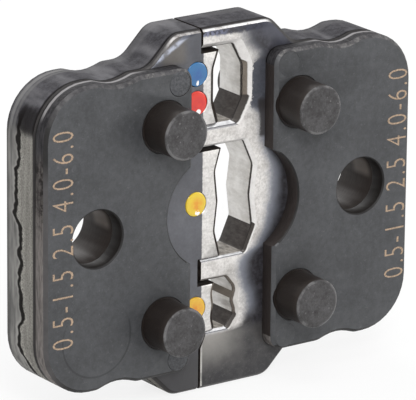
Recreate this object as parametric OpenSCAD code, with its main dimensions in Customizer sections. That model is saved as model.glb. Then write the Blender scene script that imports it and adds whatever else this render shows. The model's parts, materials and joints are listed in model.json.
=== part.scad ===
// Crimp die insert: a left and a right half that close on each other across a vertical parting line.
// X runs across the halves, -Y faces the viewer (cover plate side), +Z runs up the parting line.
// The origin is the middle of the closed set.

/* [Outline] */
// Width of the closed set over both wings
set_w = 44; // [40:0.5:56]
// Height of the wings
wing_h = 31.2; // [30.4:0.2:34]
// Height of the middle block, where the two halves meet
block_h = 37.3; // [36.4:0.1:42]
// Width of the flat on top of the middle block
block_w = 11.6; // [10:0.2:12.4]
// Radius of the wing corners
corner_r = 5.3; // [2:0.1:6]
// Radius of the block's outer corners
block_r = 2; // [0.6:0.1:2.4]
// Radius of the hollow where the block's slope meets the wing
foot_r = 2.5; // [0.8:0.1:3]

/* [Finger scallops] */
// Width of a scallop, as a share of the straight stretch of wing that it lies in
scallop_share = 0.59; // [0.45:0.01:0.62]
// How far a scallop lies outwards of that stretch's middle, as a share of the stretch
scallop_shift = 0.08; // [0:0.01:0.1]
// Depth of a scallop where its two sides would meet
scallop_d = 0.75; // [0.3:0.05:0.9]
// Share of a scallop's two sides that its round hollow takes
scallop_round = 0.6; // [0.2:0.05:0.7]
// Radius of the two shoulders of a scallop
shoulder_r = 1.5; // [0.5:0.1:2.5]

/* [Thickness] */
// Thickness of a die body
body_t = 5.1; // [4:0.05:7]
// Thickness of a cover plate
cover_t = 1.8; // [1.2:0.1:3]
// Broken edge round the outside of the bodies and covers at the front
edge = 0.35; // [0.1:0.05:0.5]
// Broken edge round the outside of the bodies at the back
back_edge = 0.15; // [0.1:0.05:0.4]
// Broken edge at the front of the bores and reliefs
bore_edge = 0.15; // [0.05:0.05:0.3]

/* [Parting line] */
// X of the left half's lands
land_x = -2.55; // [-3:0.05:-2.3]
// Gap left between the lands of the two halves in the photographed state
land_gap = 0.2; // [0.1:0.05:0.3]
// Gap between a finger's tip and the floor it points at
finger_gap = 0.4; // [0.3:0.05:0.6]
// Clearance between a punch's upper side and its channel
head_gap = 0.38; // [0.1:0.02:0.44]
// Clearance between a punch's lower side and its channel
flank_gap = 0.1; // [0.05:0.01:0.15]
// How far the lower land leans towards the right below the bottom nest
lean_x = 0.75; // [0.3:0.05:0.9]
// Height of that leaning stretch
lean_h = 1.75; // [1:0.05:2.5]

/* [Crimp nests] */
// Depth of the bell mouth at the back of the nests
bell_depth = 1; // [0.6:0.05:1.2]
// Width of the bell mouth on the floors and punch faces
bell_w = 0.8; // [0.4:0.05:0.9]
// Width of the bell mouth on the channel sides
bell_side_w = 0.4; // [0.2:0.05:0.5]
// Fillet between a channel's side and its floor
channel_r = 0.4; // [0.3:0.05:0.5]
// Radius of the lobes of a channel
lobe_r = 0.9; // [0.5:0.05:1]
// Radius of the hollow of a punch face
face_r = 1.6; // [0.8:0.1:2]

/* [Top nest] */
// Upper side of the channel
top_hi = 16.55; // [16.2:0.05:16.8]
// Lower side of the channel
top_lo = 8.7; // [8.5:0.05:8.9]
// Depth of the channel at its sides
top_mouth = 1.4; // [1:0.05:1.8]
// Depth of the channel at its floor
top_floor = 2.6; // [2.2:0.05:2.8]
// Distance of the floor's ends from the nest's middle
top_lobe = 1.65; // [1.3:0.05:2]
// Reach of the punch's lips
top_lip = -0.1; // [-0.3:0.05:0.2]
// Reach of the punch's hollow face
top_face = -0.75; // [-1:0.05:-0.5]
// Bevel round the nest at the front
top_bevel = 0.5; // [0.2:0.01:0.6]
// Width of that bevel round the lobes
top_flare = 1; // [0.5:0.05:1.1]

/* [Middle nest] */
// Upper side of the channel
mid_hi = 6.5; // [6.3:0.05:6.7]
// Lower side of the channel
mid_lo = -5.08; // [-5.2:0.02:-4.9]
// Depth of the channel at its sides
mid_mouth = 2.7; // [2.3:0.05:3]
// Depth of the channel at its two lobes
mid_floor = 3.9; // [3.6:0.05:4.1]
// Depth of the channel at the cusp between its lobes
mid_cusp = 3.5; // [3.3:0.05:3.7]
// Distance of the lobes from the nest's middle
mid_lobe = 3.1; // [2.7:0.05:3.4]
// Reach of the punch's lips
mid_lip = 0.12; // [-0.1:0.02:0.3]
// Reach of the punch's face at its two hollows
mid_face = -0.58; // [-0.8:0.02:-0.4]
// Reach of the punch's face between its hollows
mid_ridge = -0.23; // [-0.4:0.02:-0.1]
// Bevel round the nest at the front
mid_bevel = 0.27; // [0.15:0.01:0.4]
// Width of that bevel round the lobes
mid_flare = 0.5; // [0.3:0.05:0.6]

/* [Bottom nest] */
// Upper side of the channel
low_hi = -7.38; // [-7.5:0.02:-7.2]
// Lower side of the channel
low_lo = -12.65; // [-12.9:0.05:-12.5]
// Depth of the channel at its sides
low_mouth = 0.75; // [0.6:0.05:1]
// Depth of the channel at its two lobes
low_floor = 1.85; // [1.6:0.05:2]
// Depth of the channel at the cusp between its lobes
low_cusp = 1.4; // [1.2:0.05:1.5]
// Distance of the lobes from the nest's middle
low_lobe = 1.25; // [1.1:0.05:1.4]
// Reach of the punch's lips
low_lip = -0.5; // [-0.6:0.02:-0.4]
// Reach of the punch's face at its two hollows
low_face = -0.78; // [-0.9:0.02:-0.7]
// Reach of the punch's face between its hollows
low_ridge = -0.6; // [-0.66:0.02:-0.54]
// Bevel round the nest at the front
low_bevel = 0.33; // [0.2:0.01:0.4]
// Width of that bevel round the lobes
low_flare = 0.55; // [0.35:0.05:0.6]

/* [Cover plates] */
// Distance of the left cover's inner edge from the set's middle
cover_in_left = 4.7; // [4.6:0.05:4.9]
// Distance of the right cover's inner edge from the set's middle
cover_in_right = 5.2; // [5:0.05:5.3]
// Radius of the covers' inner corners
cover_r = 1.5; // [0.8:0.1:1.6]
// Radius of the round relief in front of the middle nest
relief_r = 5.8; // [5:0.1:6.4]
// How far the relief reaches past the cover's inner edge
relief_reach = 2.95; // [2:0.05:3.2]
// Height of the relief's middle
relief_z = 0.45; // [0:0.05:0.8]

/* [Studs] */
// Diameter of the locating studs
stud_d = 5; // [4:0.1:5.2]
// Distance of the studs from the set's middle
stud_x = 8.05; // [8:0.05:8.6]
// Height of the studs above and below the set's middle
stud_z = 10.05; // [9.8:0.05:10.6]
// How far a stud stands out of the front and of the back
stud_out = 3.65; // [2:0.05:6]
// Bevel on the stud ends
stud_bevel = 0.3; // [0.1:0.05:0.6]
// Extra diameter of a stud where it is pressed into the plates
shank_extra = 0.4; // [0.34:0.02:0.6]
// Clearance round the studs, rivets and marks in their seats
seat_gap = 0.01; // [0.005:0.005:0.02]

/* [Rivets] */
// Diameter of the flush rivets that hold the covers
rivet_d = 2.5; // [1.6:0.1:2.6]
// Distance of a rivet from its cover's inner edge
rivet_in = 1.6; // [1.5:0.05:1.9]
// Height of the rivets above and below the set's middle
rivet_z = 14.1; // [14:0.05:14.2]

/* [Latch bores] */
// Diameter of the latch bores
latch_d = 5.8; // [4:0.1:6.4]
// Distance of the latch bores from the set's sides
latch_in = 6.1; // [5:0.1:6.8]

/* [Colour marks] */
// Diameter of the dimples that hold the colour marks
mark_d = 2.5; // [1.6:0.1:2.6]
// X of the colour marks
mark_x = -3.05; // [-3.2:0.05:-2.9]
// Depth of the dimples
mark_t = 0.3; // [0.2:0.05:0.6]
// How far the enamel stands out of its dimple
mark_proud = 0.06; // [0.02:0.01:0.15]
// Height of the blue mark
blue_z = 14.15; // [14:0.05:14.3]
// Height of the red mark
red_z = 11.2; // [11:0.05:11.4]
// Height of the yellow mark
yellow_z = 0.85; // [0.4:0.05:1.2]
// Height of the small amber mark
amber_z = -10.05; // [-10.2:0.05:-9.8]

/* [Hidden] */
$fn = 64;

// Planes from front to back
set_t = cover_t + body_t;
front_y = -set_t / 2;
seam_y = front_y + cover_t;
back_y = set_t / 2;

// Half sizes and the parting line
half_w = set_w / 2;
wing_z = wing_h / 2;
block_z = block_h / 2;
block_x = block_w / 2;
foot_x = block_x + block_z - wing_z;
corner_x = half_w - corner_r;
scallop_w = (corner_x - foot_x) * scallop_share;
scallop_x = (foot_x + corner_x) / 2 + (corner_x - foot_x) * scallop_shift;
scallop_r = scallop_round * norm([scallop_w / 2, scallop_d]) * scallop_w / 2 / scallop_d;
latch_x = half_w - latch_in;
tip_x = land_x + land_gap;
valley_x = tip_x - finger_gap;
arc_step = 9;
sliver = 0.05;
bar_out = 0.25;
bar_in = 0.04;
end_run = 3;

top_nest = [top_hi, top_lo, top_mouth, top_floor, top_floor, top_lobe, top_lip, top_face, top_face, top_bevel, top_flare];
mid_nest = [mid_hi, mid_lo, mid_mouth, mid_floor, mid_cusp, mid_lobe, mid_lip, mid_face, mid_ridge, mid_bevel, mid_flare];
low_nest = [low_hi, low_lo, low_mouth, low_floor, low_cusp, low_lobe, low_lip, low_face, low_ridge, low_bevel, low_flare];

// A corner is [x, z, radius, front, back]; front and back are how wide the edge that leaves it is broken
// on each face. Corners run anticlockwise as seen from the front, with the metal on their left.

function unit(v) = v / norm(v);
function left_of(v) = [-v[1], v[0]];
function xz(corner) = [corner[0], corner[1]];
function around(list, i) = list[(i + len(list)) % len(list)];

// Corner i moved into the metal by the widths of its two edges; side 3 is the front, 4 the back
function inset(corners, i, side) =
    let (
        p = xz(corners[i]),
        before = around(corners, i - 1),
        in_n = left_of(unit(p - xz(before))),
        out_n = left_of(unit(xz(around(corners, i + 1)) - p)),
        a = before[side],
        b = corners[i][side],
        turn = in_n[0] * out_n[1] - in_n[1] * out_n[0]
    )
    abs(turn) < 0.01
        ? p + out_n * (a + b) / 2
        : p + [a * out_n[1] - b * in_n[1], b * in_n[0] - a * out_n[0]] / turn;

// Points of one corner, with its fillet of radius r, in steps equal along every ring
function fillet(a, p, b, r, steps) =
    steps == 0 ? [p] :
    let (
        u = unit(a - p),
        v = unit(b - p),
        inner = acos(max(-1, min(1, u * v))),
        centre = p + unit(u + v) * r / sin(inner / 2),
        start = p + u * r / tan(inner / 2) - centre,
        end = p + v * r / tan(inner / 2) - centre,
        sweep = (180 - inner) * sign(start[0] * end[1] - start[1] * end[0]),
        a0 = atan2(start[1], start[0])
    )
    [for (k = [0:steps]) centre + r * [cos(a0 + sweep * k / steps), sin(a0 + sweep * k / steps)]];

// How many steps the fillet of corner i takes
function steps_at(corners, i) =
    corners[i][2] == 0 ? 0 :
    let (
        u = unit(xz(around(corners, i - 1)) - xz(corners[i])),
        v = unit(xz(around(corners, i + 1)) - xz(corners[i]))
    )
    max(1, ceil((180 - acos(max(-1, min(1, u * v)))) / arc_step));

// Points of corner i with its fillet; side 0 is the full outline, 3 and 4 the broken edges
function turned(corners, i, side) =
    let (
        count = len(corners),
        moved = [for (k = [-1:1]) side == 0
            ? xz(around(corners, i + k))
            : inset(corners, (i + k + count) % count, side)],
        w = side == 0 ? 0 : min(around(corners, i - 1)[side], corners[i][side]),
        e = xz(corners[i]) - xz(around(corners, i - 1)),
        f = xz(around(corners, i + 1)) - xz(corners[i]),
        convex = e[0] * f[1] - e[1] * f[0] > 0,
        r = convex ? max(corners[i][2] - w, sliver) : corners[i][2] + w
    )
    fillet(moved[0], moved[1], moved[2], r, steps_at(corners, i));

// The closed outline
function ring(corners, side) = [for (i = [0:len(corners) - 1]) each turned(corners, i, side)];

// The same for an open run of corners, whose two ends are square to it
function run(corners, side) =
    let (
        last = len(corners) - 1,
        first_n = left_of(unit(xz(corners[1]) - xz(corners[0]))),
        last_n = left_of(unit(xz(corners[last]) - xz(corners[last - 1]))),
        first_w = side == 0 ? 0 : corners[0][side],
        last_w = side == 0 ? 0 : corners[last - 1][side]
    )
    concat(
        [xz(corners[0]) + first_n * first_w],
        [for (i = [1:last - 1]) each turned(corners, i, side)],
        [xz(corners[last]) + last_n * last_w]
    );

// Four-sided bar along an edge, which breaks it; face_y is the plate's face and into points into the metal
module edge_bar(corners, side, face_y, into, depth, closed) {
    full = closed ? ring(corners, 0) : run(corners, 0);
    broken = closed ? ring(corners, side) : run(corners, side);
    n = len(full);
    outer = [for (i = [0:n - 1]) full[i] + (full[i] - broken[i]) * bar_out];
    inner = [for (i = [0:n - 1]) broken[i] - (full[i] - broken[i]) * bar_in];
    points = concat(
        [for (p = outer) [p[0], face_y + into * depth * (1 + bar_out), p[1]]],
        [for (p = inner) [p[0], face_y - into * depth * bar_in, p[1]]],
        [for (p = inner) [p[0], face_y - into * depth, p[1]]],
        [for (p = outer) [p[0], face_y - into * depth, p[1]]]
    );
    walls = [
        for (i = [0:closed ? n - 1 : n - 2])
            for (k = [0:3])
                let (j = (i + 1) % n, a = k * n, b = ((k + 1) % 4) * n)
                [a + i, a + j, b + j, b + i]
    ];
    ends = closed ? [] : [[0, n, 2 * n, 3 * n], [4 * n - 1, 3 * n - 1, 2 * n - 1, n - 1]];
    all = concat(walls, ends);
    polyhedron(points, into < 0 ? [for (f = all) [for (k = [len(f) - 1:-1:0]) f[k]]] : all, convexity = 8);
}

// A plate between y0 and y1 with the outline of the corners
module plate(corners, y0, y1) {
    translate([0, y1, 0])
        rotate([90, 0, 0])
            linear_extrude(height = y1 - y0)
                polygon(ring(corners, 0));
}

// Round hole along Y, with its front mouth broken by the width front
module hole(x, z, r, y0, y1, front) {
    translate([x, y0 - 1, z])
        rotate([-90, 0, 0])
            cylinder(r = r, h = y1 - y0 + 2);
    if (front > 0)
        translate([x, y0 - 1, z])
            rotate([-90, 0, 0])
                cylinder(r1 = r + front + 1, r2 = r - sliver, h = 1 + front + sliver);
}

// Stud along Y: a pressed shank between its two free ends, which are bevelled
module stud(side, up) {
    r = stud_d / 2;
    color([0.16, 0.15, 0.15])
        translate([side * stud_x, front_y, up * stud_z])
            rotate([-90, 0, 0]) {
                cylinder(r = r + shank_extra / 2, h = set_t);
                for (end = [[0, 180], [set_t, 0]])
                    translate([0, 0, end[0]])
                        rotate([end[1], 0, 0]) {
                            cylinder(r = r, h = stud_out - stud_bevel);
                            translate([0, 0, stud_out - stud_bevel])
                                cylinder(r1 = r, r2 = r - stud_bevel, h = stud_bevel);
                        }
            }
}

// Lower half of a wing from the block's flat to the side, on the right
function lower_wing() = [
    [block_x, -block_z, block_r, edge, back_edge],
    [foot_x, -wing_z, foot_r, edge, back_edge],
    [scallop_x - scallop_w / 2, -wing_z, shoulder_r, edge, back_edge],
    [scallop_x, -wing_z + scallop_d, scallop_r, edge, back_edge],
    [scallop_x + scallop_w / 2, -wing_z, shoulder_r, edge, back_edge],
    [half_w, -wing_z, corner_r, edge, back_edge]
];

// The same corners as they run when turned over top to bottom or side to side
function flip_z(corners) = [
    for (i = [len(corners) - 1:-1:0])
        [corners[i][0], -corners[i][1], corners[i][2], corners[i][3], corners[i][4]]
];
function flip_xz(corners) = [for (c = corners) [-c[0], -c[1], c[2], c[3], c[4]]];
function wing() = concat(lower_wing(), flip_z(lower_wing()));

// Right-hand wall of a nest, from its upper side down to its lower side
function channel(nest) =
    let (mid = (nest[0] + nest[1]) / 2, w = nest[10])
    [
        [nest[2], nest[0], channel_r, w, bell_w],
        [nest[3], mid + nest[5], lobe_r, w, bell_w],
        [nest[4], mid, nest[3] == nest[4] ? 0 : lobe_r, w, bell_w],
        [nest[3], mid - nest[5], lobe_r, w, bell_w],
        [nest[2], nest[1], channel_r, nest[9], bell_side_w]
    ];

// Face of the punch that closes a nest, from its lower lip up to its upper lip
function punch(nest) =
    let (mid = (nest[0] + nest[1]) / 2, w = nest[9])
    [
        [nest[6], nest[1] + flank_gap, 0, w, bell_w],
        [nest[7], mid - nest[5], face_r, w, bell_w],
        [nest[8], mid, nest[7] == nest[8] ? 0 : lobe_r, w, bell_w],
        [nest[7], mid + nest[5], face_r, w, bell_w],
        [nest[6], nest[0] - head_gap, 0, w, bell_w]
    ];

function right_outer() = wing();
function left_outer() = flip_xz(wing());

function right_body() = concat(
    right_outer(),
    [
        [tip_x, block_z, 0, 0, 0],
        [tip_x, top_hi, 0, 0, 0]
    ],
    channel(top_nest),
    [
        [tip_x, top_lo, 0, 0, 0],
        [tip_x, mid_hi, 0, 0, 0]
    ],
    channel(mid_nest),
    [
        [tip_x, mid_lo, 0, 0, 0],
        [tip_x, low_hi, 0, 0, 0]
    ],
    channel(low_nest),
    [
        [tip_x + lean_x, low_lo, 0, 0, 0],
        [tip_x, low_lo - lean_h, 0, 0, 0],
        [tip_x, -block_z, 0, 0, 0]
    ]
);

function left_body() = concat(
    left_outer(),
    [
        [land_x, -block_z, 0, 0, 0],
        [land_x, low_lo - lean_h, 0, 0, 0],
        [land_x + lean_x, low_lo, 0, 0, 0]
    ],
    punch(low_nest),
    [
        [valley_x, low_hi - head_gap, 0, 0, 0],
        [valley_x, mid_lo + flank_gap, 0, 0, 0]
    ],
    punch(mid_nest),
    [
        [valley_x, mid_hi - head_gap, 0, 0, 0],
        [valley_x, top_lo + flank_gap, 0, 0, 0]
    ],
    punch(top_nest),
    [
        [land_x, top_hi - head_gap, 0, 0, 0],
        [land_x, block_z, 0, 0, 0]
    ]
);

// The edges that get broken, each run on into the open at both its ends
function right_edge() = concat(
    [[tip_x - end_run, -block_z, 0, edge, back_edge]],
    right_outer(),
    [[tip_x - end_run, block_z, 0, edge, back_edge]]
);
function left_edge() = concat(
    [[land_x + end_run, block_z, 0, edge, back_edge]],
    left_outer(),
    [[land_x + end_run, -block_z, 0, edge, back_edge]]
);
function channel_edge(nest) = concat(
    [[tip_x - end_run, nest[0], 0, nest[9], bell_side_w]],
    channel(nest),
    [[tip_x - end_run, nest[1], 0, nest[9], bell_side_w]]
);
function punch_edge(nest) =
    let (face = punch(nest), lip_in = unit(xz(face[0]) - xz(face[1])), lip_out = unit(xz(face[4]) - xz(face[3])))
    concat(
        [[face[0][0] + lip_in[0], face[0][1] + lip_in[1], 0, nest[9], bell_w]],
        [face[1], face[2], face[3]],
        [[face[4][0] + lip_out[0], face[4][1] + lip_out[1], 0, nest[9], bell_w]]
    );

// Outline of a right-hand cover whose inner edge lies inner_x from the middle
function cover(inner_x) =
    let (outer = [for (c = wing()) if (abs(c[1]) <= wing_z && c[0] > foot_x) c])
    concat(
        outer,
        [
            [inner_x, wing_z, cover_r, edge, 0],
            [inner_x, -wing_z, cover_r, edge, 0]
        ]
    );

module die_body(corners, side, cover_in) {
    difference() {
        plate(corners, seam_y, back_y);
        hole(side * latch_x, 0, latch_d / 2, seam_y, back_y, 0);
        fastener_holes(side, cover_in, seam_y, back_y);
        edge_bar(side > 0 ? right_edge() : left_edge(), 3, seam_y, 1, edge, false);
        edge_bar(side > 0 ? right_edge() : left_edge(), 4, back_y, -1, back_edge, false);
        for (nest = [top_nest, mid_nest, low_nest]) {
            run_of = side > 0 ? channel_edge(nest) : punch_edge(nest);
            edge_bar(run_of, 3, seam_y, 1, nest[9], false);
            edge_bar(run_of, 4, back_y, -1, bell_depth, false);
        }
    }
}

module cover_plate(corners, side, cover_in) {
    difference() {
        plate(corners, front_y, seam_y);
        hole(side * latch_x, 0, latch_d / 2, front_y, seam_y, bore_edge);
        hole(side * (cover_in + relief_reach - relief_r), relief_z, relief_r, front_y, seam_y, bore_edge);
        fastener_holes(side, cover_in, front_y, seam_y);
        edge_bar(corners, 3, front_y, 1, edge, true);
    }
}

// Holes of the two studs and two rivets of one half
module fastener_holes(side, cover_in, y0, y1) {
    for (up = [-1, 1]) {
        translate([side * stud_x, y0 - 1, up * stud_z])
            rotate([-90, 0, 0])
                cylinder(r = (stud_d + shank_extra) / 2 + seat_gap, h = y1 - y0 + 2);
        translate([side * (cover_in + rivet_in), y0 - 1, up * rivet_z])
            rotate([-90, 0, 0])
                cylinder(r = rivet_d / 2 + seat_gap, h = y1 - y0 + 2);
    }
}

module rivet(side, up, cover_in) {
    color([0.33, 0.34, 0.36])
        translate([side * (cover_in + rivet_in), front_y, up * rivet_z])
            rotate([-90, 0, 0])
                cylinder(r = rivet_d / 2, h = set_t);
}

// Dimple that holds a colour mark
module mark_dimple(z) {
    translate([mark_x, seam_y - 1, z])
        rotate([-90, 0, 0])
            cylinder(r = mark_d / 2, h = mark_t + 1);
}

// Enamel in its dimple, standing a little proud
module mark(z) {
    translate([mark_x, seam_y - mark_proud, z])
        rotate([-90, 0, 0])
            cylinder(r = mark_d / 2 - seat_gap, h = mark_t - seat_gap + mark_proud);
}

module left_die_body() {
    color([0.45, 0.45, 0.46])
        difference() {
            die_body(left_body(), -1, cover_in_left);
            mark_dimple(blue_z);
            mark_dimple(red_z);
            mark_dimple(yellow_z);
            mark_dimple(amber_z);
        }
}

module left_cover_plate() {
    color([0.28, 0.29, 0.31])
        cover_plate(flip_xz(cover(cover_in_left)), -1, cover_in_left);
}

module right_die_body() {
    color([0.52, 0.52, 0.53])
        die_body(right_body(), 1, cover_in_right);
}

module right_cover_plate() {
    color([0.28, 0.29, 0.31])
        cover_plate(cover(cover_in_right), 1, cover_in_right);
}

module left_upper_stud() stud(-1, 1);
module left_lower_stud() stud(-1, -1);
module right_upper_stud() stud(1, 1);
module right_lower_stud() stud(1, -1);
module left_upper_rivet() rivet(-1, 1, cover_in_left);
module left_lower_rivet() rivet(-1, -1, cover_in_left);
module right_upper_rivet() rivet(1, 1, cover_in_right);
module right_lower_rivet() rivet(1, -1, cover_in_right);
module blue_mark() color([0.2, 0.45, 0.72]) mark(blue_z);
module red_mark() color([0.85, 0.2, 0.15]) mark(red_z);
module yellow_mark() color([0.92, 0.76, 0.15]) mark(yellow_z);
module amber_mark() color([0.93, 0.68, 0.15]) mark(amber_z);

left_die_body();
left_cover_plate();
left_upper_stud();
left_lower_stud();
left_upper_rivet();
left_lower_rivet();
blue_mark();
red_mark();
yellow_mark();
amber_mark();
right_die_body();
right_cover_plate();
right_upper_stud();
right_lower_stud();
right_upper_rivet();
right_lower_rivet();
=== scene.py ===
"""Dresses the crimp die insert in ground and blackened steel and enamel, and sets it in a plain studio."""

import json
import math

import bmesh
import bpy
from mathutils import Matrix, Vector


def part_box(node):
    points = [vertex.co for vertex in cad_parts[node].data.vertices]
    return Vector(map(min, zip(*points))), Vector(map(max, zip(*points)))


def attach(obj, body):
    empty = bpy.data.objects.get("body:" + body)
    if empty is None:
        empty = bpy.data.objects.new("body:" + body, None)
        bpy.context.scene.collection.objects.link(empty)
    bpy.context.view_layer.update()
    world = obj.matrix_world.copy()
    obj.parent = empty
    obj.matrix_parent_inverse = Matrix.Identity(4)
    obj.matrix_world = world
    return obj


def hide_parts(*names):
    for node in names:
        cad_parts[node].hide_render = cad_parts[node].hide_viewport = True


bl_info = {
    "name": "Crimp Die Insert",
    "version": (1, 0, 0),
    "blender": (4, 5, 0),
    "location": "3D View > Sidebar > Crimp Die",
    "description": "Makes the finished surfaces of a two-part crimp die insert and a plain studio round it",
    "category": "Object",
}

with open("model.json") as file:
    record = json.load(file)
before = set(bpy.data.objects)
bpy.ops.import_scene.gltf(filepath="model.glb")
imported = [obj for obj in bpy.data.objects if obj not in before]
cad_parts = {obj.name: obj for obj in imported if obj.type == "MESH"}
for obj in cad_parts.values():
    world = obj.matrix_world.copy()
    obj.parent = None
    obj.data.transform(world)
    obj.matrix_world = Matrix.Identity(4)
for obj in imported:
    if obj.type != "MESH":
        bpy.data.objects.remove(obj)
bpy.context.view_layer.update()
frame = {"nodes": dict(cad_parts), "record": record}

MM = 0.001
PLATE_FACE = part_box("left_cover_plate")[0].y / MM
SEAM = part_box("left_cover_plate")[1].y / MM
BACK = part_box("left_die_body")[1].y / MM
STUD_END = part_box("left_upper_stud")[1].y / MM
BLOCK_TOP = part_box("right_die_body")[1].z / MM
WING_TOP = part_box("left_cover_plate")[1].z / MM
HALF_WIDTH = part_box("right_die_body")[1].x / MM
COVER_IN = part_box("right_cover_plate")[0].x / MM
COVER_IN_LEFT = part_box("left_cover_plate")[1].x / MM
TIP_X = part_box("right_die_body")[0].x / MM
MOUNTS = {mount["name"]: mount for mount in frame["record"]["mounts"]}
LATCH_X = MOUNTS["right_latch_bore"]["pos_m"][0] / MM
LATCH_R = MOUNTS["right_latch_bore"]["dims"]["r_mm"]
STUD_R = MOUNTS["left_upper_stud_front"]["dims"]["r_mm"]

# Heights of the fingers that part the nests, the nests' bevels and how far the nests reach from X = 0
TOP_FINGER, LOW_FINGER = 7.5, -6.3
TOP_BEVEL, MID_BEVEL, LOW_BEVEL = 0.5, 0.27, 0.33
NEST_REACH = 4.8

# How much of a face's normal lies along Y: over FLAT on a plate's face, over SLOPED on a broken edge
FLAT, SLOPED = 0.97, 0.2

# Material slots of the die bodies, and those that a cover has after its rim
FACE, EDGE, RIM, WALL, BORE, BEVEL, GAP, SLOPE, LEDGE, SILL = range(10)
COVER_BORE, COVER_INNER = 3, 4

# X, Z and radius of the faint ring on the left cover
COVER_RING = (-16.0, -10.1, 4.0)

# Places of the lines of numbers, and the share of a font's size that its figures stand high
NUMBER_X = {"left": -19.8, "right": 20.5}
NUMBER_Z = 0.5
FIGURE_SHARE = 0.7

# Camera that was fitted to the photo: place in millimetres, turn, lift and roll in degrees, lens and shift
CAMERA_SPOT = (-252.51, -354.29, 136.72)
CAMERA_ANGLES = (-35.743, 17.567, 0.684)
CAMERA_LENS = 397.86
CAMERA_SHIFT = (-0.0567, 0.032)

# Lamps: name, place and size in millimetres, and power in watts
LAMPS = (
    ("key lamp", (-160, -330, 260), 180, 1.3),
    ("top lamp", (-40, -60, 380), 240, 0.4),
    ("right lamp", (330, -200, 120), 200, 0.4),
    ("back lamp", (60, 300, 200), 200, 0.5),
)

# Floor: half its width and its gap below the object in millimetres, and how white the camera sees it
FLOOR_HALF = 3000.0
FLOOR_GAP = 0.02
FLOOR_WHITENESS = 0.82

# How strongly the surround lights the object; the camera sees it pure white
SURROUND_LEVEL = 0.5


def shade(red, green, blue):
    """A colour as it looks on a screen, 0 to 255, made linear."""
    parts = [c / 255 for c in (red, green, blue)]
    return tuple(p / 12.92 if p <= 0.04045 else ((p + 0.055) / 1.055) ** 2.4 for p in parts) + (1.0,)


class Value:
    """A number that changes over a surface. Arithmetic on it adds Math nodes."""

    def __init__(self, nodes, socket):
        self.nodes = nodes
        self.socket = socket

    def __add__(self, other):
        return self.nodes.math("ADD", self, other)

    __radd__ = __add__

    def __sub__(self, other):
        return self.nodes.math("SUBTRACT", self, other)

    def __rsub__(self, other):
        return self.nodes.math("SUBTRACT", other, self)

    def __mul__(self, other):
        return self.nodes.math("MULTIPLY", self, other)

    __rmul__ = __mul__

    def __truediv__(self, other):
        return self.nodes.math("DIVIDE", self, other)

    def __abs__(self):
        return self.nodes.math("ABSOLUTE", self)

    def __pow__(self, other):
        return self.nodes.math("POWER", self, other)

    def most(self, other):
        return self.nodes.math("MAXIMUM", self, other)

    def least(self, other):
        return self.nodes.math("MINIMUM", self, other)

    def rise(self, low, high, start=0.0, end=1.0):
        """Goes smoothly from start at low to end at high."""
        made = self.nodes.node(
            "ShaderNodeMapRange",
            {"interpolation_type": "SMOOTHSTEP"},
            {"Value": self, "From Min": low, "From Max": high, "To Min": start, "To Max": end},
        )
        return Value(self.nodes, made.outputs["Result"])


class Nodes:
    """Makes the nodes of one tree."""

    def __init__(self, tree):
        self.tree = tree

    def node(self, kind, settings=None, inputs=None):
        """Adds a node, its settings first and then the values or links of its sockets."""
        made = self.tree.nodes.new(kind)
        for key, value in (settings or {}).items():
            setattr(made, key, value)
        for key, value in (inputs or {}).items():
            socket = made.inputs[key]
            value = getattr(value, "socket", value)
            if isinstance(value, bpy.types.NodeSocket):
                self.tree.links.new(value, socket)
            else:
                socket.default_value = value
        return made

    def math(self, operation, *terms):
        """Adds a Math node on values or numbers."""
        made = self.node("ShaderNodeMath", {"operation": operation}, dict(enumerate(terms)))
        return Value(self, made.outputs[0])

    def seen(self):
        """1 for rays from the camera and for those that a glossy or clear surface sends on, 0 for others."""
        path = self.node("ShaderNodeLightPath").outputs
        kinds = ("Is Camera Ray", "Is Glossy Ray", "Is Transmission Ray")
        camera, glossy, clear = (Value(self, path[kind]) for kind in kinds)
        return camera.most(glossy).most(clear)


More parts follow.
